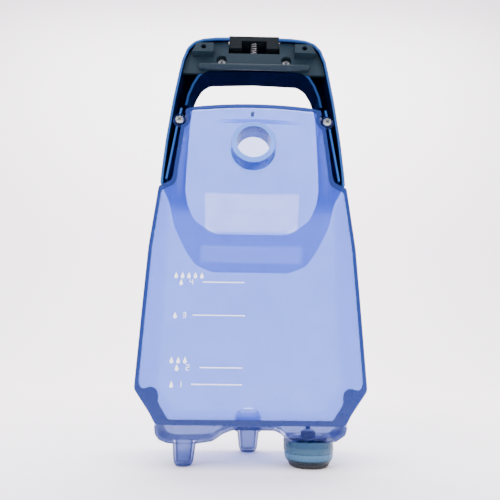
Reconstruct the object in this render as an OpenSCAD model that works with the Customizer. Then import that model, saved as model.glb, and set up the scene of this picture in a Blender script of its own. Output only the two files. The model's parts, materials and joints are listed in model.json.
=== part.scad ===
// Clean-water tank of an upright floor washer, with its carrying frame, latch and outlet valve.
// Millimetres. +Z up, rear face (filler neck, level marks) towards -Y, tank depth towards +Y.
// Origin: centre of the bounding box in X and Y, at the level of the feet tips.

/* [Tank] */
// wall thickness of the moulded shells
wall = 2.6; // [2.2:0.1:3]

/* [Filler neck] */
// outside radius of the neck
neck_r = 21.8; // [20:0.2:23]
// bore radius of the neck
neck_bore_r = 16.8; // [15:0.2:18]
// how far the neck stands out of the rear face
neck_h = 18.8; // [18.8:0.1:18.8]
// height of the neck's centre
neck_z = 297.2; // [290:0.2:300]

/* [Frame] */
// wall thickness of the carrying frame
frame_wall = 2.4; // [2:0.1:2.8]

/* [Fasteners] */
// screw shank radius
screw_r = 1.5; // [1.2:0.1:1.5]
// head radius of the two frame screws
frame_screw_head_r = 4.25; // [3.5:0.05:4.5]

/* [Valve] */
// radius of the screw-on valve cap
cap_r = 22.5; // [22:0.1:22.6]
// radius of the valve stem
stem_r = 2.3; // [2.3:0.01:2.32]

/* [Hidden] */
$fn = 64;

seam_y = wall;      // the flat rear plate meets the front shell's rim here
ear_y0 = 4; ear_y1 = 8;
yc = 44.6;          // half way between the neck's lip and the tank's front
vx = 53; vy = 26;   // outlet valve axis
ear_x = 77; ear_z = 333;
hs_x = 35.8; hs_z = 411.9;
latch_y = 14;

// ---- outlines -------------------------------------------------------------
function unit(v) = v / norm(v);
function cr(a, b) = a[0] * b[1] - a[1] * b[0];
function rev(p) = [for (i = [len(p) - 1:-1:0]) p[i]];
function mir(p) = [for (q = p) [-q[0], q[1]]];
function both(p) = concat(p, rev(mir(p)));
function inset(P, t) = [for (i = [0:len(P) - 1])
  let (a = P[(i + len(P) - 1) % len(P)], b = P[i], c = P[(i + 1) % len(P)],
       d = unit(b - a), e = unit(c - b), m = [-d[1], d[0]], n = [-e[1], e[0]])
  abs(cr(d, e)) < 0.001 ? b + m * t : b + m * t + d * (cr(n - m, e) * t / cr(d, e))];
// corners of P cut back to arcs of radius about r, in k steps
function soft(P, r, k = 4) = [for (i = [0:len(P) - 1])
  let (a = P[(i + len(P) - 1) % len(P)], b = P[i], c = P[(i + 1) % len(P)],
       d = unit(b - a), e = unit(c - b), turn = acos(min(1, max(-1, d * e))),
       s = min(r * tan(turn / 2), norm(b - a) * 0.45, norm(c - b) * 0.45))
  each (turn < 9 ? [b] : [for (j = [0:k]) let (u = j / k) (b - d * s) * (1 - u) * (1 - u) + b * 2 * u * (1 - u) + (b + e * s) * u * u])];
function front(z) = lookup(z, [[36, 96], [45, 104], [60, 108], [140, 108], [190, 98], [230, 78], [265, 56], [300, 44], [347, 34], [365, 31], [400, 30], [445, 30]]);

tank_half = [[82, 36.3], [87, 45], [102.7, 65.5], [100.5, 146], [99, 195], [93.2, 258.5], [84, 261.5], [79.8, 269], [74.4, 326], [71, 345], [0.5, 350.8]];
tank_pts = soft(both(tank_half), 9);
tank_in = soft(inset(both(tank_half), wall), 7);
frame_half = [[45, 191.5], [65, 199], [76, 214], [88, 238], [93, 262], [92.5, 276], [90.3, 311], [85.6, 358], [81.1, 391], [78.4, 408], [73.6, 422.5], [66.5, 431], [56.5, 435], [41.5, 437], [0.5, 438.3]];
frame_pts = soft(both(frame_half), 14);
window_half = [[42, 231.4], [54, 238], [66, 246], [73, 262], [75, 276], [72, 330], [70.5, 352], [68.6, 364], [64, 378], [58.5, 388.5], [50, 395], [0.5, 397]];
window_pts = soft(both(window_half), 12);
bottom_half = [[-84.6, 39], [-84.6, 33], [-83.4, 27], [-79.5, 22.6], [-72, 20], [-47, 20], [-33, 22], [-24, 28], [-16, 31], [21, 31], [27.5, 28.2], [32, 22.3], [75, 22.3], [83.4, 27.5], [85.4, 33], [85.4, 39]];

module slab(P, y0, y1) translate([0, y1, 0]) rotate([90, 0, 0]) linear_extrude(y1 - y0) polygon(P);
module side(P, x0, x1) translate([x0, 0, 0]) rotate([90, 0, 90]) linear_extrude(x1 - x0) polygon(P);
module rod_y(r, y0, y1, x, z) translate([x, y1, z]) rotate([90, 0, 0]) cylinder(r = r, h = y1 - y0);
module box(a, b) translate(a) cube(b - a);
module pair() { children(); mirror([1, 0, 0]) children(); }
module place() translate([0, -yc, 0]) children();
function zs(a, b) = [for (z = [a, 45, 60, 140, 190, 230, 265, 300, 347, 365, 400, 445]) if (z >= a && z < b) z];
// region of the side view between two offsets from the front line
function strip(t0, t1, a, b) = let (Z = concat(a == 36 || a == 45 ? [] : [a], [for (z = zs(a, b)) if (z != a || a == 36 || a == 45) z], [b]))
  concat([for (z = Z) [front(z) + t0, z]], rev([for (z = Z) [front(z) + t1, z]]));
function behind(t, y0, a, b) = let (Z = concat([a], [for (z = zs(a, b)) if (z > a) z], [b]))
  concat([[y0, a]], [for (z = Z) [front(z) + t, z]], [[y0, b]]);

module helix(r, w, z0, z1, turns, sides = 8, per = 18) {
  n = round(turns * per);
  pts = [for (i = [0:n]) let (a = 360 * i / per, z = z0 + w + (z1 - z0 - 2 * w) * i / n)
    each [for (k = [0:sides - 1]) let (b = 360 * k / sides, q = r - w + w * cos(b)) [q * cos(a), q * sin(a), z + w * sin(b)]]];
  faces = concat([[for (k = [0:sides - 1]) k]], [[for (k = [sides - 1:-1:0]) n * sides + k]],
    [for (i = [0:n - 1], k = [0:sides - 1]) each let (a = i * sides + k, b = i * sides + (k + 1) % sides) [[a, a + sides, b + sides], [a, b + sides, b]]]);
  polyhedron(points = pts, faces = faces, convexity = 8);
}
module cross_recess(y0, y1, x, z, l, w) for (a = [45, 135]) translate([x, (y0 + y1) / 2, z]) rotate([0, a, 0]) cube([l, y1 - y0, w], center = true);

// ---- tank -----------------------------------------------------------------
module rear_shell() color([0.55, 0.6, 0.9, 0.5]) place() {
  difference() {
    union() {
      slab(tank_pts, 0, seam_y);
      rod_y(29, -0.4, 1, 0, neck_z);
      rod_y(neck_r, -neck_h, seam_y, 0, neck_z);
    }
    pair() rod_y(8.5, -1, 4, ear_x, ear_z);
    rod_y(neck_bore_r, -neck_h - 1, wall + 1, 0, neck_z);
    rod_y(1.15, -1, wall + 1, -1, 339.5);
  }
}

module tripod_pegs() {
  translate([-59, 22, 6]) cylinder(r1 = 9, r2 = 10.8, h = 15);
  translate([-59, 22, 0]) cylinder(r1 = 6.4, r2 = 9, h = 6);
  translate([-1, 90, 19.5]) cylinder(r = 14, h = 18);
  translate([-1, 90, 6]) cylinder(r1 = 9.8, r2 = 11.6, h = 14);
  translate([-1, 90, 0]) cylinder(r1 = 7, r2 = 9.8, h = 6);
}

module front_shell() color([0.5, 0.56, 0.88, 0.5]) place() {
  difference() {
    union() {
      difference() {
        intersection() { slab(tank_pts, seam_y, 110); side(behind(0, seam_y, 36, 352), -110, 110); }
        pair() rod_y(8.5, 0, ear_y0, ear_x, ear_z);
        pair() rod_y(6.2, ear_y1, 110, ear_x, ear_z);
      }
      pair() rod_y(7.2, ear_y0, ear_y1, ear_x, ear_z);
      slab(bottom_half, ear_y1, 46);
      tripod_pegs();
      translate([vx, vy, 8]) cylinder(r = 17.2, h = 16);
    }
    difference() {
      intersection() { slab(tank_in, seam_y - 1, 110); side(behind(-2.8, seam_y - 1, 36, 352), -110, 110); }
      pair() rod_y(11, seam_y - 1, ear_y1 + 2, ear_x, ear_z);
      pair() rod_y(8.8, ear_y1, 110, ear_x, ear_z);
    }
    difference() {
      slab(inset(bottom_half, wall), ear_y1 + wall, 46 - wall);
      translate([vx, vy, 0]) cylinder(r = 17.2, h = 24.9);
    }
    box([-82, ear_y1 + wall, 35], [82.8, 46 - wall, 40]);
    pair() rod_y(2, 0, 9, ear_x, ear_z);
    translate([-59, 22, 3]) cylinder(r1 = 6.2, r2 = 8.2, h = 20);
    translate([-1, 90, 3]) cylinder(r1 = 7, r2 = 9, h = 20);
    translate([-1, 90, 22]) cylinder(r = 11.4, h = 18);
    translate([vx, vy, 0]) cylinder(r = 14.5, h = 40);
  }
}

module vent_valve() color([0.15, 0.2, 0.4]) place() {
  rod_y(2, -0.8, 0, -1, 339.5);
  rod_y(1.05, -0.4, 3, -1, 339.5);
  rod_y(1.6, 2.6, 3.1, -1, 339.5);
}

// strokes of a figure on a 3 by 5 grid, each [x0, z0, x1, z1]
function strokes(n) = n == 1 ? [[1.2, 0, 1.8, 5]]
  : n == 2 ? [[0, 4.4, 3, 5], [2.4, 2.2, 3, 4.5], [0, 2.2, 3, 2.8], [0, 0.5, 0.6, 2.3], [0, 0, 3, 0.6]]
  : n == 3 ? [[0, 4.4, 3, 5], [2.4, 0.5, 3, 4.5], [0, 2.2, 2.5, 2.8], [0, 0, 3, 0.6]]
  : [[0, 2.2, 0.6, 5], [0, 2.2, 3, 2.8], [2.4, 0, 3, 5]];
module figure(n, x, z) for (s = strokes(n)) slab([[x + s[0], z + s[1]], [x + s[2], z + s[1]], [x + s[2], z + s[3]], [x + s[0], z + s[3]]], -0.15, 0);
module drop_mark(x, z) { rod_y(1.7, -0.15, 0, x, z); slab([[x - 1.5, z + 0.8], [x + 1.5, z + 0.8], [x, z + 4.2]], -0.15, 0); }
module level_marks() color([1, 1, 1]) place() {
  for (l = [[161, -46, -7], [130.2, -54, -6], [84, -45.7, -8], [69.7, -52.7, -8]])
    slab([[l[1], l[0] - 0.45], [l[2], l[0] - 0.45], [l[2], l[0] + 0.45], [l[1], l[0] + 0.45]], -0.15, 0);
  for (x = [-71, -65, -59, -53, -47]) drop_mark(x, 166);
  figure(4, -58, 158.5); drop_mark(-66, 159.5);
  figure(3, -63, 127.7); drop_mark(-70, 128.7);
  for (x = [-71, -65, -59]) drop_mark(x, 89);
  figure(2, -58, 81.5); drop_mark(-66, 82.5);
  figure(1, -63, 67.2); drop_mark(-70, 68.2);
}

module front_badge() color([0.8, 0.78, 0.88]) place()
  intersection() {
    slab(soft(both([[38, 233.6], [49, 239.4], [52.5, 243], [52, 271], [0.5, 273]]), 4), 30, 110);
    side(strip(0, 1.3, 232, 274), -60, 60);
  }

// ---- carrying frame -------------------------------------------------------
module frame_web() intersection() {
  difference() { slab(frame_pts, 20, 110); slab(window_pts, 19, 111); }
  side(strip(0.3, 3.3, 190.5, 440), -100, 100);
}
module frame_skirts() difference() {
  intersection() {
    union() {
      difference() { slab(frame_pts, 4, 70); slab(soft(inset(both(frame_half), frame_wall), 12), 3, 71); }
      difference() {
        intersection() { slab(soft(inset(both(window_half), -frame_wall), 13), 6, 70); box([-100, 0, 352.3], [100, 80, 420]); }
        slab(window_pts, 5, 71);
        box([-63, 0, 391], [63, 9.4, 405]);
      }
      pair() slab([[86.2, 267], [88.0, 267], [80.5, 325.5], [78.7, 325.5]], 4, 60);
      pair() slab([[76.4, 340.2], [78.2, 340.2], [76.9, 347.5], [75.1, 347.5]], 4, 50);
      pair() rod_y(5.5, ear_y1, 60, ear_x, ear_z);
      pair() rod_y(5, 18, 40, hs_x, hs_z);
    }
    side(behind(0.9, 0, 262.4, 440), -100, 100);
  }
  pair() rod_y(screw_r + 0.1, 0, 27, ear_x, ear_z);
  pair() rod_y(screw_r + 0.1, 0, 29, hs_x, hs_z);
  union() { box([-27.2, 0, 425], [27.2, 8.5, 445]); box([-28.4, 8.3, 425], [28.4, 21.8, 445]); };
}
module handle_frame() color([0.16, 0.27, 0.6]) place() union() { frame_web(); frame_skirts(); }

module cover_plate() difference() {
  intersection() {
    slab(soft(inset(both(frame_half), frame_wall + 0.3), 12), 9, 12);
    box([-90, 8, 394], [90, 13, 440]);
  }
  slab(soft(inset(both(window_half), -frame_wall - 0.3), 13), 8, 13);
}
module handle_cover() color([0.36, 0.46, 0.56]) place() difference() {
  union() {
    cover_plate();
    translate([-57.5, 5.8, 400.6]) rotate([0, 90, 0]) cylinder(r = 3.3, h = 115);
    pair() translate([57.5, 5.8, 400.6]) sphere(r = 3.3);
    box([-57, 6, 400.2], [57, 12, 403.8]);
    pair() slab([[44.3, 415.6], [67.6, 415.1], [62.6, 426.2], [44.6, 426.6]], 0, 10);
    pair() rod_y(7.4, 9, 18, hs_x, hs_z);
    box([-7, 10, 417.9], [7, 18.6, 420.4]);
  }
  pair() rod_y(5.7, 0, 16, hs_x, hs_z);
  pair() rod_y(2, 0, 19, hs_x, hs_z);
  pair() rod_y(2.9, -1, 13, 55.1, 421.5);
  box([-28.4, 0, 420.4], [28.4, 13, 445]);
}

module latch_slider() color([0.4, 0.5, 0.58]) place() union() {
  pair() box([14, 8.6, 427.2], [28, 19.5, 443]);
  box([-14.5, 8.6, 437], [14.5, 19.5, 443]);
  box([-28, 19, 437], [28, 21, 443]);
  translate([0, latch_y, 432.5]) cylinder(r = 2.6, h = 5);
}
module latch_spring() color([0.75, 0.76, 0.78]) place() translate([0, latch_y, 0]) helix(4.2, 0.45, 420.4, 437, 5.5);

module handle_screws() color([0.8, 0.81, 0.83]) place() pair() difference() {
  union() { rod_y(4, 13.4, 16, hs_x, hs_z); rod_y(screw_r, 15, 28, hs_x, hs_z); }
  cross_recess(12, 15, hs_x, hs_z, 4.4, 0.9);
}
module frame_screws() color([0.8, 0.81, 0.83]) place() pair() difference() {
  union() {
    rod_y(frame_screw_head_r, 2.2, 4, ear_x, ear_z);
    translate([ear_x, 2.2, ear_z]) rotate([90, 0, 0]) cylinder(r1 = frame_screw_head_r, r2 = 3, h = 1.1);
    rod_y(screw_r, 3, 24, ear_x, ear_z);
  }
  cross_recess(0, 2.9, ear_x, ear_z, 4.6, 0.9);
}

// ---- outlet valve ---------------------------------------------------------
module valve() place() translate([vx, vy, 0]) children();
module valve_cap() color([0.42, 0.6, 0.72]) valve() difference() {
  union() {
    translate([0, 0, 14]) cylinder(r = cap_r, h = 8);
    translate([0, 0, 12.6]) cylinder(r1 = 21.9, r2 = cap_r, h = 1.4);
    translate([0, 0, 11.8]) cylinder(r = 21.9, h = 0.9);
    translate([0, 0, 6.8]) cylinder(r1 = 21.1, r2 = 22.1, h = 5);
    translate([0, 0, 3.7]) cylinder(r1 = 18.8, r2 = 21.1, h = 3.1);
  }
  translate([0, 0, 6.5]) cylinder(r = 17.6, h = 20);
  translate([0, 0, 1]) cylinder(r = 11, h = 20);
  difference() { translate([0, 0, 11]) cylinder(r = 20.6, h = 20); translate([0, 0, 5]) cylinder(r = 19.3, h = 30); }
}
module valve_boot() color([0.04, 0.04, 0.05]) valve() difference() {
  union() { translate([0, 0, 1.4]) cylinder(r1 = 17.6, r2 = 18.8, h = 2.3); cylinder(r1 = 15.4, r2 = 17.6, h = 1.4); }
  translate([0, 0, -1]) cylinder(r = 11, h = 8);
}
module valve_gasket() color([0.1, 0.1, 0.11]) valve() difference() {
  translate([0, 0, 6.5]) cylinder(r = 17.1, h = 1.5);
  translate([0, 0, 6]) cylinder(r = 14.6, h = 3);
}
module valve_cage() color([0.12, 0.2, 0.45]) valve() difference() {
  union() {
    translate([0, 0, 6.5]) cylinder(r = 14.2, h = 1.5);
    translate([0, 0, 7]) cylinder(r = 12, h = 17);
    translate([0, 0, 23.5]) cylinder(r1 = 6.9, r2 = 6.4, h = 5.5);
  }
  translate([0, 0, 8]) cylinder(r = 10.4, h = 14.5);
  translate([0, 0, 5]) cylinder(r = 7.5, h = 5);
  translate([0, 0, 20]) cylinder(r = stem_r + 0.06, h = 12);
  for (a = [0:60:120]) rotate([0, 0, a]) box([-15, -3.6, 11], [15, 3.6, 20.5]);
}
module sleeve(r0, r1, z0, z1) difference() { translate([0, 0, z0]) cylinder(r = r1, h = z1 - z0); translate([0, 0, z0 - 1]) cylinder(r = r0, h = z1 - z0 + 2); }
module valve_screen() color([0.7, 0.72, 0.75]) valve() union() {
  difference() {
    sleeve(12.3, 13.1, 8, 22.5);
    for (a = [0:30:150]) rotate([0, 0, a]) box([-15, -2.2, 10.5], [15, 2.2, 20.8]);
  }
  sleeve(12.3, 12.9, 13.6, 14.8);
  sleeve(12.3, 12.9, 17.4, 18.6);
}
module valve_plunger() color([0.14, 0.24, 0.55]) valve() union() {
  translate([0, 0, 1.5]) cylinder(r1 = 5.2, r2 = 6, h = 2);
  translate([0, 0, 3]) cylinder(r = stem_r, h = 33.6);
  translate([0, 0, 11.4]) cylinder(r = 4.6, h = 1.6);
}
module valve_disc() color([0.08, 0.08, 0.09]) valve() difference() {
  translate([0, 0, 8]) cylinder(r = 9.6, h = 3.4);
  translate([0, 0, 7]) cylinder(r = stem_r, h = 6);
}
module valve_spring() color([0.75, 0.76, 0.78]) valve() helix(4.4, 0.4, 13, 22.5, 4);
module valve_clip() color([0.85, 0.85, 0.86]) valve() difference() {
  translate([0, 0, 29.3]) cylinder(r = 4, h = 1.5);
  translate([0, 0, 28]) cylinder(r = stem_r, h = 4);
}

rear_shell();
front_shell();
vent_valve();
level_marks();
front_badge();
handle_frame();
handle_cover();
latch_slider();
latch_spring();
handle_screws();
frame_screws();
valve_cap();
valve_boot();
valve_gasket();
valve_cage();
valve_screen();
valve_plunger();
valve_disc();
valve_spring();
valve_clip();
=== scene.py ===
import bpy, bmesh, math, json
from mathutils import Vector, Matrix

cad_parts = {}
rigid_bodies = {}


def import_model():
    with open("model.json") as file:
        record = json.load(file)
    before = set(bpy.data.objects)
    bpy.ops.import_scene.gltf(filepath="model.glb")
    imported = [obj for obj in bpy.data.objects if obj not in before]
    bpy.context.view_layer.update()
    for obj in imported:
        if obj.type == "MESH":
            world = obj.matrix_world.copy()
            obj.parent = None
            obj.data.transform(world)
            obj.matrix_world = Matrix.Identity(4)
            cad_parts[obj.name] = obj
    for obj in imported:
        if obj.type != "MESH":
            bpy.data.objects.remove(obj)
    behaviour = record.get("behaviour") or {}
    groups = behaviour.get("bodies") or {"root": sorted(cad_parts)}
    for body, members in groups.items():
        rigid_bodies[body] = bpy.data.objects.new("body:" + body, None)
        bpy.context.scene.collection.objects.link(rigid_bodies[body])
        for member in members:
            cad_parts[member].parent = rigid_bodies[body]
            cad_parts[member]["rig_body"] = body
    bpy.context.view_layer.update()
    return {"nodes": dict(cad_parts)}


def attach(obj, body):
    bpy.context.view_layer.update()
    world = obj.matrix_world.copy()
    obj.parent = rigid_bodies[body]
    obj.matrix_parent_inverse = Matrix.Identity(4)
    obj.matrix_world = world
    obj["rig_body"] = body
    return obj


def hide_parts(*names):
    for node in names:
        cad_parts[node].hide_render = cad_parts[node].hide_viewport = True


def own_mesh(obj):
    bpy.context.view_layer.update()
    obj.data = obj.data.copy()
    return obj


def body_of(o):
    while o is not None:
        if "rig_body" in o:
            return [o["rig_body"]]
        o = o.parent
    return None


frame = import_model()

N = frame["nodes"]
YC = 44.6
MM = 0.001


def P(x, y, z):
    return Vector((x * MM, (y - YC) * MM, z * MM))


# ---------------------------------------------------------------- camera and materials
cd = bpy.data.cameras.new("cam")
cam = bpy.data.objects.new("cam", cd)
bpy.context.scene.collection.objects.link(cam)
cd.sensor_width = 36
cd.lens = 36 * 430 / 500
cd.clip_start = 0.01
right = Vector((0.99982, -0.01521, 0.01095)).normalized()
fwd = Vector((0.01188, 0.96616, 0.25766)).normalized()
up = right.cross(fwd).normalized()
m = Matrix((right, up, -fwd)).transposed().to_4x4()
m.translation = P(-7.06, -396.13, 86.95)
cam.matrix_world = m
bpy.context.scene.camera = cam


def nodes_of(name):
    mt = bpy.data.materials.new(name)
    mt.use_nodes = True
    nt = mt.node_tree
    nt.nodes.clear()
    return mt, nt, nt.nodes.new("ShaderNodeOutputMaterial")


def add(nt, kind, **kw):
    n = nt.nodes.new(kind)
    for k, v in kw.items():
        setattr(n, k, v)
    return n


def ramp(nt, stops, interp="LINEAR"):
    r = nt.nodes.new("ShaderNodeValToRGB")
    r.color_ramp.interpolation = interp
    el = r.color_ramp.elements
    while len(el) < len(stops):
        el.new(0.5)
    for e, (p, c) in zip(el, stops):
        e.position = p
        e.color = (c, c, c, 1) if isinstance(c, (int, float)) else (*c, 1)
    return r


def mixc(nt, a, b, f):
    n = nt.nodes.new("ShaderNodeMix")
    n.data_type = "RGBA"
    for s, v in ((6, a), (7, b), (0, f)):
        if isinstance(v, bpy.types.NodeSocket):
            nt.links.new(v, n.inputs[s])
        else:
            n.inputs[s].default_value = v if s == 0 else (*v, 1)
    return n.outputs[2]


def remap(nt, src, a, b, c, d, smooth=False):
    n = nt.nodes.new("ShaderNodeMapRange")
    n.interpolation_type = "SMOOTHSTEP" if smooth else "LINEAR"
    nt.links.new(src, n.inputs["Value"])
    for k, v in (("From Min", a), ("From Max", b), ("To Min", c), ("To Max", d)):
        n.inputs[k].default_value = v
    return n.outputs["Result"]


def math_n(nt, op, a, b):
    n = nt.nodes.new("ShaderNodeMath")
    n.operation = op
    for i, v in enumerate((a, b)):
        if isinstance(v, bpy.types.NodeSocket):
            nt.links.new(v, n.inputs[i])
        else:
            n.inputs[i].default_value = v
    return n.outputs[0]


def coords(nt):
    tc = nt.nodes.new("ShaderNodeTexCoord")
    return tc.outputs["Object"]


def noise(nt, scale, detail=3, rough=0.5, src=None):
    n = nt.nodes.new("ShaderNodeTexNoise")
    n.inputs["Scale"].default_value = scale
    n.inputs["Detail"].default_value = detail
    n.inputs["Roughness"].default_value = rough
    nt.links.new(src if src is not None else coords(nt), n.inputs["Vector"])
    return n.outputs["Fac"]


def bump(nt, h, strength, dist):
    n = nt.nodes.new("ShaderNodeBump")
    n.inputs["Strength"].default_value = strength
    n.inputs["Distance"].default_value = dist
    nt.links.new(h, n.inputs["Height"])
    return n.outputs["Normal"]


def principled(nt, out):
    p = nt.nodes.new("ShaderNodeBsdfPrincipled")
    nt.links.new(p.outputs[0], out.inputs["Surface"])
    return p


def put(nt, p, name, v):
    if isinstance(v, bpy.types.NodeSocket):
        nt.links.new(v, p.inputs[name])
    else:
        p.inputs[name].default_value = v


def plastic(name, c1, c2, r0, r1, scale=60, metal=0.0, grain=900, gs=0.15, wear=None):
    """Solid moulded plastic, rubber or metal: a cloudy tone, an uneven gloss and a fine grain."""
    mt, nt, out = nodes_of(name)
    p = principled(nt, out)
    n1 = noise(nt, scale, 4, 0.6)
    put(nt, p, "Base Color", mixc(nt, c1, c2, n1))
    n2 = noise(nt, scale * 3.1, 3, 0.6)
    put(nt, p, "Roughness", remap(nt, n2, 0.25, 0.75, r0, r1))
    put(nt, p, "Metallic", metal)
    put(nt, p, "Normal", bump(nt, noise(nt, grain, 2, 0.5), gs, 0.0002))
    return mt, nt, p


def zcoord(nt):
    s = nt.nodes.new("ShaderNodeSeparateXYZ")
    nt.links.new(coords(nt), s.inputs[0])
    return s.outputs


# tank: thin clear plastic, deeper blue where the wall is seen at a slant
def clear(name, face, edge, tint, tint_edge, a0, a1, power=0.35, haze=0.02, rough=(0.16, 0.3), window=False):
    mt, nt, out = nodes_of(name)
    p = nt.nodes.new("ShaderNodeBsdfPrincipled")
    tr = nt.nodes.new("ShaderNodeBsdfTransparent")
    mx = nt.nodes.new("ShaderNodeMixShader")
    nt.links.new(tr.outputs[0], mx.inputs[1])
    nt.links.new(p.outputs[0], mx.inputs[2])
    nt.links.new(mx.outputs[0], out.inputs["Surface"])
    lw = add(nt, "ShaderNodeLayerWeight")
    lw.inputs["Blend"].default_value = power
    f = remap(nt, lw.outputs["Facing"], 0.18, 0.85, 0, 1, True)
    n1 = noise(nt, 9, 3, 0.55)
    n2 = noise(nt, 45, 4, 0.6)
    cloud = mixc(nt, face, tuple(min(1, v * 1.25) for v in face), n1)
    put(nt, p, "Base Color", mixc(nt, cloud, edge, f))
    thin = mixc(nt, tint, tuple(min(1, v * 1.05) for v in tint), n1)
    thin = mixc(nt, thin, tint_edge, f)
    win = None
    if window:
        xyz = zcoord(nt)
        ax = math_n(nt, "ABSOLUTE", xyz[0], 0)
        win = math_n(nt, "MULTIPLY", remap(nt, ax, 0.0515, 0.0535, 1, 0, True), remap(nt, xyz[1], -0.015, -0.01, 0, 1, True))
        win = math_n(nt, "MULTIPLY", win, remap(nt, xyz[2], 0.2325, 0.2345, 0, 1, True))
        win = math_n(nt, "MULTIPLY", win, remap(nt, xyz[2], 0.2705, 0.2725, 1, 0, True))
        thin = mixc(nt, thin, (0.985, 0.975, 1.0), win)
    nt.links.new(thin, tr.inputs[0])
    al = math_n(nt, "ADD", remap(nt, f, 0, 1, a0, a1), remap(nt, n2, 0.3, 0.7, -haze, haze))
    if win is not None:
        al = math_n(nt, "MULTIPLY", al, remap(nt, win, 0, 1, 1, 0.25))
    nt.links.new(al, mx.inputs[0])
    put(nt, p, "Roughness", remap(nt, noise(nt, 130, 4, 0.7), 0.3, 0.7, *rough))
    put(nt, p, "IOR", 1.45)
    sc = nt.nodes.new("ShaderNodeMapping")
    sc.inputs["Scale"].default_value = (40, 40, 3)
    nt.links.new(coords(nt), sc.inputs["Vector"])
    w = math_n(nt, "ADD", noise(nt, 6, 3, 0.6, sc.outputs[0]), math_n(nt, "MULTIPLY", noise(nt, 14, 2, 0.5), 1.4))
    put(nt, p, "Normal", bump(nt, w, 0.07, 0.0012))
    return mt


PLATE = clear("tank_plate", (0.05, 0.1, 0.6), (0.01, 0.05, 0.35), (0.67, 0.755, 0.985), (0.25, 0.4, 0.9), 0.3, 0.85)
TANK = clear("tank_clear", (0.05, 0.1, 0.56), (0.03, 0.08, 0.46), (0.74, 0.81, 0.985), (0.72, 0.8, 0.98), 0.2, 0.34, window=True)
# painted shade colour for the thin dark sheet on the rear face's border
EDGE_SHADE = clear("tank_edge_shade", (0.005, 0.022, 0.14), (0.004, 0.018, 0.12), (0.28, 0.4, 0.82), (0.15, 0.25, 0.7), 0.72, 0.92)
POD = clear("tank_pod", (0.018, 0.032, 0.15), (0.005, 0.02, 0.12), (0.68, 0.73, 0.9), (0.16, 0.24, 0.62), 0.24, 0.88, 0.42)
NECK = clear("tank_neck", (0.012, 0.04, 0.26), (0.006, 0.03, 0.22), (0.4, 0.5, 0.9), (0.2, 0.3, 0.8), 0.75, 0.95)
LIP = clear("tank_lip", (0.1, 0.22, 0.7), (0.02, 0.09, 0.45), (0.5, 0.65, 0.95), (0.3, 0.45, 0.9), 0.85, 0.95)


# carrying frame: deep blue, its rims catch the light; the band on the tank's front is thin and clear
def frame_mat():
    mt, nt, out = nodes_of("frame_blue")
    p = principled(nt, out)
    xyz = zcoord(nt)
    lw = add(nt, "ShaderNodeLayerWeight")
    lw.inputs["Blend"].default_value = 0.4
    rim = remap(nt, xyz[1], (6.6 - YC) * MM, (5.2 - YC) * MM, 0, 1, True)
    deep = mixc(nt, (0.0006, 0.0012, 0.007), (0.0012, 0.003, 0.018), noise(nt, 30, 4, 0.6))
    # painted sheen: faces seen at a grazing angle are coloured lighter blue than the near-black faces seen head-on
    body = mixc(nt, deep, (0.006, 0.02, 0.1), remap(nt, lw.outputs["Facing"], 0.6, 0.98, 0, 1, True))
    nrm = nt.nodes.new("ShaderNodeSeparateXYZ")
    nt.links.new(nt.nodes.new("ShaderNodeTexCoord").outputs["Normal"], nrm.inputs[0])
    put(nt, p, "Specular IOR Level", 0.0)
    put(nt, p, "Coat Weight", remap(nt, nrm.outputs[1], 0.3, 0.7, 0, 0.35, True))
    put(nt, p, "Coat Roughness", 0.14)
    body = mixc(nt, body, mixc(nt, (0.006, 0.028, 0.15), (0.009, 0.038, 0.19), noise(nt, 12, 3, 0.5)), remap(nt, nrm.outputs[1], 0.2, 0.6, 0, 1, True))
    col = mixc(nt, body, (0.025, 0.075, 0.24), rim)
    low = remap(nt, xyz[2], 0.270, 0.246, 0, 1, True)
    band = mixc(nt, (0.015, 0.22, 0.6), (0.03, 0.27, 0.66), noise(nt, 20, 3, 0.5))
    ax = math_n(nt, "ABSOLUTE", xyz[0], 0)
    clearer = math_n(nt, "MULTIPLY", remap(nt, ax, 0.0575, 0.0605, 1, 0, True), math_n(nt, "MULTIPLY", remap(nt, xyz[2], 0.2005, 0.203, 0, 1, True), remap(nt, xyz[2], 0.2185, 0.2215, 1, 0, True)))
    band = mixc(nt, band, (0.03, 0.12, 0.45), remap(nt, lw.outputs["Facing"], 0.55, 0.98, 0, 1, True))
    put(nt, p, "Base Color", mixc(nt, col, band, low))
    put(nt, p, "Alpha", math_n(nt, "SUBTRACT", 1.0, math_n(nt, "MULTIPLY", low, math_n(nt, "ADD", remap(nt, lw.outputs["Facing"], 0.4, 1, 0.54, 0.1), math_n(nt, "MULTIPLY", clearer, 0.2)))))
    put(nt, p, "Roughness", remap(nt, noise(nt, 90, 3, 0.6), 0.3, 0.7, 0.18, 0.34))
    put(nt, p, "Normal", bump(nt, noise(nt, 160, 2, 0.5), 0.04, 0.0002))
    return mt


FRAME = frame_mat()
def dull(name, c1, c2, r0, r1, spec):
    mt, nt, p = plastic(name, c1, c2, r0, r1, 70, gs=0.2)
    put(nt, p, "Specular IOR Level", spec)
    return mt


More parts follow.
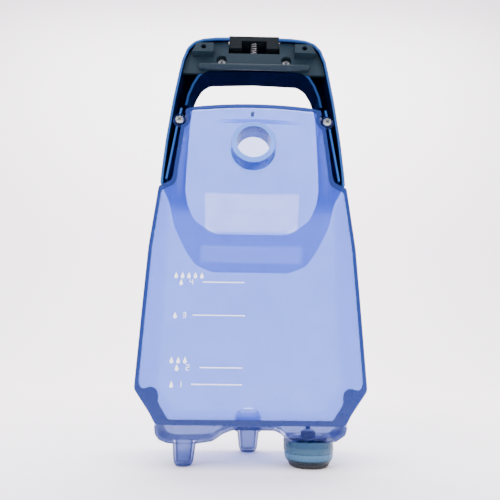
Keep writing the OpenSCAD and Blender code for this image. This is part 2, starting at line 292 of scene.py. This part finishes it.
GRIP = dull("grip_grey", (0.006, 0.014, 0.022), (0.010, 0.022, 0.034), 0.38, 0.54, 0.14)
LATCH = dull("latch_grey", (0.002, 0.004, 0.006), (0.005, 0.008, 0.011), 0.4, 0.56, 0.08)
RUBBER = plastic("rubber_black", (0.006, 0.007, 0.009), (0.014, 0.015, 0.018), 0.45, 0.7, 120, gs=0.3)[0]
STEM = plastic("stem_blue", (0.012, 0.03, 0.13), (0.02, 0.05, 0.18), 0.3, 0.45, 90)[0]
PALE = plastic("pale_plastic", (0.66, 0.68, 0.72), (0.75, 0.76, 0.78), 0.35, 0.5, 90)[0]
def steel(name, cx, cz, y0):
    mt, nt, p = plastic(name, (0.24, 0.25, 0.27), (0.4, 0.42, 0.44), 0.2, 0.36, 300, 1.0, 1500, 0.2)
    xyz = zcoord(nt)
    dx = math_n(nt, "SUBTRACT", math_n(nt, "ABSOLUTE", xyz[0], 0), cx * MM)
    dz = math_n(nt, "SUBTRACT", xyz[2], cz * MM)
    r = math_n(nt, "SQRT", math_n(nt, "ADD", math_n(nt, "MULTIPLY", dx, dx), math_n(nt, "MULTIPLY", dz, dz)), 0)
    # painted shade: the screw head's cross recess, within 2.3-2.5 mm of the screw centre and deeper than the head's
    # top, is coloured near-black
    painted_recess_shade = math_n(nt, "MULTIPLY", remap(nt, r, 2.3 * MM, 2.5 * MM, 1, 0), remap(nt, xyz[1], (y0 - YC) * MM, (y0 + 0.15 - YC) * MM, 0, 1))
    put(nt, p, "Base Color", mixc(nt, mixc(nt, (0.24, 0.25, 0.27), (0.4, 0.42, 0.44), noise(nt, 300, 4, 0.6)), (0.015, 0.016, 0.02), painted_recess_shade))
    return mt


STEEL_F = steel("frame_screw_steel", 77, 333, 1.25)
STEEL_H = steel("cover_screw_steel", 35.8, 411.9, 13.55)
WIRE = plastic("spring_steel", (0.22, 0.22, 0.24), (0.36, 0.36, 0.38), 0.2, 0.36, 300, 1.0, 1800, 0.2)[0]
WHITE = plastic("print_white", (0.9, 0.91, 0.95), (0.97, 0.97, 1.0), 0.4, 0.55, 200)[0]
BADGE = clear("badge", (0.9, 0.8, 0.95), (0.5, 0.5, 0.8), (0.99, 0.975, 1.0), (0.8, 0.8, 0.95), 0.06, 0.3, 0.3)


def cap_mat():
    mt, nt, p = plastic("cap_blue", (0.12, 0.27, 0.4), (0.16, 0.33, 0.46), 0.22, 0.34, 60, gs=0.05)
    z = zcoord(nt)[2]
    tone = ramp(nt, [(0.0, (0.003, 0.006, 0.01)), (0.14, (0.006, 0.014, 0.024)), (0.2, (0.04, 0.11, 0.19)), (0.42, (0.06, 0.155, 0.27)), (0.46, (0.02, 0.06, 0.11)), (0.5, (0.035, 0.095, 0.16)), (0.7, (0.026, 0.075, 0.13)), (0.76, (0.010, 0.045, 0.1)), (0.94, (0.012, 0.052, 0.115)), (1.0, (0.010, 0.038, 0.09))])
    nt.links.new(remap(nt, z, 0.0037, 0.022, 0, 1), tone.inputs[0])
    put(nt, p, "Base Color", mixc(nt, tone.outputs[0], (0.05, 0.11, 0.17), remap(nt, noise(nt, 80, 3, 0.6), 0.3, 0.7, 0.02, 0.1)))
    put(nt, p, "Specular IOR Level", 0.22)
    return mt


CAP = cap_mat()

# ---------------------------------------------------------------- mesh helpers
def link(name, me):
    o = bpy.data.objects.new(name, me)
    bpy.context.scene.collection.objects.link(o)
    return o


def mesh(name, verts, faces):
    me = bpy.data.meshes.new(name)
    me.from_pydata([tuple(v) for v in verts], [], faces)
    me.validate()
    o = link(name, me)
    b = bmesh.new()
    b.from_mesh(me)
    bmesh.ops.recalc_face_normals(b, faces=b.faces)
    b.to_mesh(me)
    b.free()
    return o


def smooth(o, deg=32):
    o.data.shade_smooth()
    o.data.set_sharp_from_angle(angle=math.radians(deg))
    return o


def boolean(a, b, op):
    md = a.modifiers.new("b", "BOOLEAN")
    md.operation = op
    md.solver = "EXACT"
    md.object = b
    bpy.context.view_layer.update()
    dg = bpy.context.evaluated_depsgraph_get()
    me = bpy.data.meshes.new_from_object(a.evaluated_get(dg))
    a.modifiers.clear()
    old = a.data
    a.data = me
    bpy.data.meshes.remove(old)
    bpy.data.objects.remove(b, do_unlink=True)
    return a


def lookup(t, z):
    if z <= t[0][0]:
        return t[0][1]
    for (a, u), (b, v) in zip(t, t[1:]):
        if z <= b:
            return u + (v - u) * (z - a) / (b - a)
    return t[-1][1]


def soft_lookup(t, z, w):
    return sum(lookup(t, z + w * k / 4) * (5 - abs(k)) for k in range(-4, 5)) / 25


FRONT = [(36, 96), (45, 104), (60, 108), (140, 108), (190, 98), (230, 78), (265, 56), (300, 44), (347, 34), (365, 31), (400, 30)]
WIDTH = [(36, 82), (45, 87.2), (65.5, 102.6), (146, 100.5), (195, 99), (258.3, 93.2), (261, 84), (263.5, 81.0), (269, 79.8), (326, 74.4), (345, 71), (352, 70)]


def loft(name, t):
    """The tank's body as one closed skin, t inside the outer surface."""
    zs = []
    z = 36 + t
    while z < 350.8 - t:
        zs.append(z)
        z += 1.0 if (254 < z < 272 or z < 48 or 60 < z < 72) else (1.5 if z > 335 else 5.0)
    zs.append(350.8 - t)
    r_end = 5.0 - min(t, 2.2)
    rings = []
    for z in zs:
        X = soft_lookup(WIDTH, z, 3.2) - t
        F = min(107.99, soft_lookup(FRONT, z, 9)) - t
        d = 0.0
        for e in (z - (36 + t), (350.8 - t) - z):
            if e < r_end:
                d = max(d, r_end - math.sqrt(max(0, r_end ** 2 - (r_end - e) ** 2)))
        X -= d
        F -= d
        y0 = t + d
        rr, rf = max(1.2, 4.2 - t * 0.8), max(3, min(15, F * 0.3) - t * 0.6)
        half = [(X * k / 6 * 0.94, y0) for k in range(0, 6)]
        half += [(X - rr + rr * math.sin(a), y0 + rr - rr * math.cos(a)) for a in [math.radians(90 * k / 6) for k in range(7)]]
        half += [(X, y0 + rr + (F - rf - y0 - rr) * k / 5) for k in range(1, 5)]
        half += [(X - rf + rf * math.cos(a), F - rf + rf * math.sin(a)) for a in [math.radians(90 * k / 7) for k in range(8)]]
        half += [((X - rf) * (1 - k / 5), F) for k in range(1, 6)]
        loop = half + [(-x, y) for x, y in half[::-1][1:-1]]
        s = min(1, max(0, (z - 325) / 24))
        s = s * s * (3 - 2 * s)
        rings.append([P(x, y, z - 5.4 * (x / 71) ** 2 * s) for x, y in loop])
    n = len(rings[0])
    verts = [v for r in rings for v in r]
    faces = [(i * n + k, i * n + (k + 1) % n, (i + 1) * n + (k + 1) % n, (i + 1) * n + k) for i in range(len(rings) - 1) for k in range(n)]
    faces += [tuple(range(n)), tuple((len(rings) - 1) * n + k for k in range(n))[::-1]]
    return mesh(name, verts, faces)


def revolve(name, prof, at, axis="z", n=64):
    """prof: (radius, height) pairs of a closed outline; zero radii become points on the axis."""
    verts, faces, idx = [], [], []
    for r, h in prof:
        row = []
        for k in range(n if r > 1e-6 else 1):
            a = 2 * math.pi * k / n
            if axis == "z":
                v = P(at[0] + r * math.cos(a), at[1] + r * math.sin(a), h)
            else:
                v = P(at[0] + r * math.cos(a), h, at[1] + r * math.sin(a))
            row.append(len(verts))
            verts.append(v)
        idx.append(row)
    pairs = list(zip(idx, idx[1:]))
    if prof[0][0] > 1e-6:
        pairs.append((idx[-1], idx[0]))
    for a, b in pairs:
        for k in range(n):
            q = [a[k % len(a)], a[(k + 1) % len(a)], b[(k + 1) % len(b)], b[k % len(b)]]
            q = list(dict.fromkeys(q))
            if len(q) > 2:
                faces.append(tuple(q))
    return mesh(name, verts, faces)


def rod(name, r, y0, y1, x, z, n=64):
    return revolve(name, [(0, y0), (r, y0), (r, y1), (0, y1)], (x, z), "y", n)


def prism(name, pts, y0, y1, bev=0.0, seg=3):
    n = len(pts)
    o = mesh(name, [P(x, y0, z) for x, z in pts] + [P(x, y1, z) for x, z in pts],
             [tuple(range(n)), tuple(range(2 * n - 1, n - 1, -1))] + [(k, n + k, n + (k + 1) % n, (k + 1) % n) for k in range(n)])
    if bev:
        b = bmesh.new()
        b.from_mesh(o.data)
        bmesh.ops.bevel(b, geom=list(b.edges), offset=bev * MM, segments=seg, profile=0.5, affect="EDGES", clamp_overlap=True)
        bmesh.ops.recalc_face_normals(b, faces=b.faces)
        b.to_mesh(o.data)
        b.free()
    return o


EAR = (77, 333)
VX, VY = 53, 26
POD_L = [(-84.6, 40), (-84.6, 33), (-83.4, 27), (-79.5, 22.6), (-72, 20), (-47, 20), (-33, 22), (-24, 28), (-16, 31), (21, 31), (27.5, 28.2), (32, 22.3), (75, 22.3), (83.4, 27.5), (85.4, 33), (85.4, 40)]
POD_IN = [(-82, 42), (-82, 33.4), (-81, 28), (-78, 24.6), (-71.6, 22.6), (-47.3, 22.6), (-34, 24.4), (-25, 30.4), (-17, 33.6), (22.5, 33.6), (29.2, 30.2), (33.4, 24.9), (74.2, 24.9), (81.2, 29), (82.8, 33.6), (82.8, 42)]


def build_tank():
    outer = loft("tank_outer", 0)
    inner = loft("tank_inner", 2.6)
    for s in (-1, 1):
        boolean(outer, rod("c", 8.5, -2, 4, s * EAR[0], EAR[1]), "DIFFERENCE")
        boolean(outer, rod("c", 6.2, 8, 90, s * EAR[0], EAR[1]), "DIFFERENCE")
        boolean(outer, revolve("c", [(0, 4), (6.8, 4), (7.2, 4.5), (7.2, 8), (0, 8)], (s * EAR[0], EAR[1]), "y"), "UNION")
        boolean(outer, rod("c", 2, 0, 9, s * EAR[0], EAR[1]), "DIFFERENCE")
        boolean(inner, rod("c", 11, -2, 8.2, s * EAR[0], EAR[1]), "DIFFERENCE")
        boolean(inner, rod("c", 8.8, 7, 90, s * EAR[0], EAR[1]), "DIFFERENCE")
    boolean(outer, revolve("c", [(0, -0.4), (28.3, -0.4), (29, 0.1), (29, 1.5), (0, 1.5)], (0, 297.2), "y"), "UNION")
    boolean(outer, revolve("c", [(0, -18.8), (20.6, -18.8), (21.4, -18.5), (21.8, -17.7), (21.8, -2.4), (22.4, -1.1), (23.6, -0.4), (23.6, 2), (0, 2)], (0, 297.2), "y", 96), "UNION")
    boolean(outer, prism("c", POD_L, 8.0, 46, 1.2), "UNION")
    boolean(inner, prism("c", POD_IN, 10.6, 43.4, 0.8), "UNION")
    boolean(outer, revolve("c", [(0, 0), (5.2, 0), (7.2, 0.9), (8.6, 3.2), (9.1, 6), (10.8, 21), (10.8, 26), (0, 26)], (-59, 22)), "UNION")
    boolean(outer, revolve("c", [(0, 0), (5.8, 0), (7.8, 0.9), (9.2, 3.2), (9.8, 6), (11.6, 19.5), (13.4, 19.6), (14, 20.2), (14, 40), (0, 40)], (-1, 90)), "UNION")
    boolean(outer, revolve("c", [(0, 8), (17.2, 8), (17.2, 25), (0, 25)], (VX, VY)), "UNION")
    boolean(inner, revolve("c", [(0, 3), (6.2, 3), (8.2, 23), (8.2, 30), (0, 30)], (-59, 22)), "UNION")
    boolean(inner, revolve("c", [(0, 3), (7, 3), (9, 22), (11.4, 22.4), (11.4, 42), (0, 42)], (-1, 90)), "UNION")
    boolean(inner, rod("c", 1.15, -3, 6, -1, 339.5, 24), "UNION")
    boolean(inner, rod("c", 16.8, -25, 6, 0, 297.2, 96), "UNION")
    boolean(inner, revolve("c", [(0, 2), (14.5, 2), (14.5, 30), (0, 30)], (VX, VY)), "UNION")
    boolean(outer, inner, "DIFFERENCE")
    return outer


def half(o, name, lo, hi):
    me = o.data.copy()
    h = link(name, me)
    b = bmesh.new()
    b.from_mesh(me)
    for y, side in ((lo, False), (hi, True)):
        if y is None:
            continue
        r = bmesh.ops.bisect_plane(b, geom=list(b.verts) + list(b.edges) + list(b.faces), plane_co=P(0, y, 0), plane_no=(0, 1, 0), clear_outer=side, clear_inner=not side)
        e = [g for g in r["geom_cut"] if isinstance(g, bmesh.types.BMEdge)]
        try:
            bmesh.ops.bridge_loops(b, edges=[x for x in e if x.is_boundary])
        except Exception:
            pass
    b.to_mesh(me)
    b.free()
    return h


SEAM = 2.9
shell = build_tank()
rear = half(shell, "rear_shell_skin", None, SEAM)
front = half(shell, "front_shell_skin", SEAM, None)
bpy.data.objects.remove(shell, do_unlink=True)


def weigh(o):
    md = o.modifiers.new("weight", "WEIGHTED_NORMAL")
    md.mode = "FACE_AREA"
    md.weight = 80
    md.keep_sharp = True


def at(f):
    c = f.center
    return c.x / MM, c.y / MM + YC, c.z / MM


for o, node, mats in ((rear, "rear_shell", (PLATE, NECK, LIP)), (front, "front_shell", (TANK, POD))):
    smooth(o, 30)
    o.data.materials.clear()
    for mt in mats:
        o.data.materials.append(mt)
    for f in o.data.polygons:
        x, y, z = at(f)
        if node == "rear_shell":
            r = math.hypot(x, z - 297.2)
            k = 0
            if r < 24 and y < -0.6:
                k = 2 if (f.normal.y < -0.55 or y < -17.6) else 1
            elif r < 17.2:
                k = 1
        else:
            k = 1 if z < 35.6 or (math.hypot(abs(x) - 77, z - 333) < 9 and y < 9) else 0
        f.material_index = k
    weigh(o)
    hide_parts(node)
    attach(o, "tank")


# painted shade: a thin dark sheet laid over the border of the rear face, wide at the two lower corners where the wall
# is drawn in, stands in for the shade on the rounded edge and on the drawn-in corners
def rim_loops():
    out, inn = [], []
    z = 36.4
    zs = []
    while z < 350.4:
        zs.append(z)
        z += 1.0 if (252 < z < 274 or z < 75 or z > 318) else 3.0
    half_o = [(X0, 36.05) for X0 in (0, 20, 40, 60, 76)]
    for z in zs:
        e = min(z - 36, 350.8 - z)
        d = 3.4 - math.sqrt(max(0, 3.4 ** 2 - max(0, 3.4 - e) ** 2))
        X = soft_lookup(WIDTH, z, 3.2) - d
        s = min(1, max(0, (z - 325) / 24))
        s = s * s * (3 - 2 * s)
        half_o.append((X, z - 5.4 * (X / 71) ** 2 * s))
    half_o += [(X0, 350.75 - 5.4 * (X0 / 71) ** 2) for X0 in (60, 50, 40, 30, 20, 10, 0)]

    def scallop(p, r):
        v = Vector((p[0] - 77, p[1] - 333))
        return p if v.length >= r else (77 + v.x / v.length * r, 333 + v.y / v.length * r)

    half_o = [scallop(p, 8.6) for p in half_o]
    half_i = [(X0, 40.6) for X0 in (0, 20, 40, 60)] + [(70, 40.6), (71.6, 41.2), (80, 53.2), (80.9, 56), (80.8, 61), (82.4, 64.8), (85.5, 67), (89, 67.4), (92.5, 66.2), (95.5, 66), (97.6, 68.5)]
    for z in [72 + 4 * k for k in range(45)]:
        half_i.append((soft_lookup(WIDTH, z, 3.2) - 3.6, z))
    half_i += [(90.4, 250.5), (88.6, 253.6), (85, 255.6), (81, 257.4), (77.6, 260.4), (75.9, 264.5), (75.4, 270)]
    for z in [274 + 3 * k for k in range(22)]:
        half_i.append(scallop((soft_lookup(WIDTH, z, 3.2) - 3.8, z), 12.2))
    half_i += [(66.5, 339.8), (64.8, 341.6), (60, 342.8)] + [(X0, 346.2 - 5.4 * (X0 / 71) ** 2) for X0 in (50, 40, 30, 20, 10, 0)]
    half_i = [scallop(p, 12.0) for p in half_i]
    full = lambda h: h + [(-x, z) for x, z in h[::-1] if x > 0.01]
    return full(half_o), full(half_i)


def rim():
    b = bmesh.new()
    eds = []
    for loop in rim_loops():
        vs = [b.verts.new(P(x, -0.3, z)) for x, z in loop]
        eds += [b.edges.new((vs[k], vs[(k + 1) % len(vs)])) for k in range(len(vs))]
    bmesh.ops.triangle_fill(b, edges=eds, use_beauty=True, use_dissolve=False)
    r = bmesh.ops.extrude_face_region(b, geom=list(b.faces))
    bmesh.ops.translate(b, verts=[v for v in r["geom"] if isinstance(v, bmesh.types.BMVert)], vec=(0, 0.28 * MM, 0))
    bmesh.ops.recalc_face_normals(b, faces=b.faces)
    me = bpy.data.meshes.new("rear_edge_shade")
    b.to_mesh(me)
    b.free()
    o = link("rear_edge_shade", me)
    o.data.materials.append(EDGE_SHADE)
    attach(o, "tank")
    return o


rim()


def paint(o, mt, bev=0.0, seg=2, deg=30):
    o.data.materials.clear()
    o.data.materials.append(mt)
    if bev:
        md = o.modifiers.new("edge", "BEVEL")
        md.width = bev * MM
        md.segments = seg
        md.limit_method = "ANGLE"
        md.angle_limit = math.radians(deg)
        md.harden_normals = False


for name, mt, bev in (("vent_valve", STEM, 0), ("level_marks", WHITE, 0), ("front_badge", BADGE, 0), ("handle_frame", FRAME, 0.5), ("handle_cover", GRIP, 0.5),
                      ("latch_slider", LATCH, 0.3), ("handle_screws", STEEL_H, 0), ("frame_screws", STEEL_F, 0), ("valve_cap", CAP, 0.5),
                      ("valve_boot", RUBBER, 0.4), ("valve_gasket", RUBBER, 0), ("valve_cage", STEM, 0), ("valve_screen", WIRE, 0), ("valve_plunger", STEM, 0),
                      ("valve_disc", RUBBER, 0), ("valve_clip", PALE, 0)):
    paint(N[name], mt, bev)


# the two coil springs: copies of their meshes in spring steel, smooth-shaded, on the bodies of the parts they stand in
# for
def coil(node):
    src = N[node]
    body = body_of(src)[0]
    o = link(node + "_coil", src.data.copy())
    o.matrix_world = src.matrix_world.copy()
    bpy.context.view_layer.update()
    paint(o, WIRE)
    smooth(o, 40)
    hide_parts(node)
    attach(o, body)
    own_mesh(o)


coil("latch_spring")
coil("valve_spring")

# ---------------------------------------------------------------- stage and light
def cyc():
    prof = [(-9.0, 0.0), (1.2, 0.0)] + [(1.2 + 0.8 * math.sin(math.radians(a)), 0.8 - 0.8 * math.cos(math.radians(a))) for a in range(6, 91, 6)] + [(2.0, 6.0)]
    verts, faces = [], []
    for y, z in prof:
        verts += [(-9.0, y, z), (9.0, y, z)]
    for i in range(len(prof) - 1):
        faces.append((2 * i, 2 * i + 1, 2 * i + 3, 2 * i + 2))
    o = mesh("backdrop", verts, faces)
    smooth(o, 60)
    mt, nt, p = plastic("backdrop", (0.965, 0.905, 0.945), (0.98, 0.92, 0.96), 0.8, 0.95, 2, gs=0.02)
    o.data.materials.append(mt)
    return o


cyc()

w = bpy.data.worlds.new("world")
bpy.context.scene.world = w
w.use_nodes = True
w.node_tree.nodes["Background"].inputs[0].default_value = (0.95, 0.94, 0.97, 1)
w.node_tree.nodes["Background"].inputs[1].default_value = 1.5


def area(name, loc, to, size, power, col=(1, 1, 1)):
    l = bpy.data.lights.new(name, "AREA")
    l.shape = "RECTANGLE"
    l.size, l.size_y = size
    l.energy = power
    l.color = col
    o = bpy.data.objects.new(name, l)
    bpy.context.scene.collection.objects.link(o)
    o.location = loc
    o.rotation_euler = (Vector(to) - Vector(loc)).to_track_quat("-Z", "Y").to_euler()
    return o


area("top", (0, 0.1, 2.4), (0, 0.2, 0), (3.0, 3.0), 105)
area("wall", (0, 0.6, 2.2), (0, 2.0, 0.8), (4.0, 0.8), 125)
area("key", (-1.1, -1.3, 1.2), (0, 0, 0.2), (0.7, 1.1), 22)
area("fill", (1.2, -1.2, 0.7), (0, 0, 0.2), (0.6, 1.0), 10)
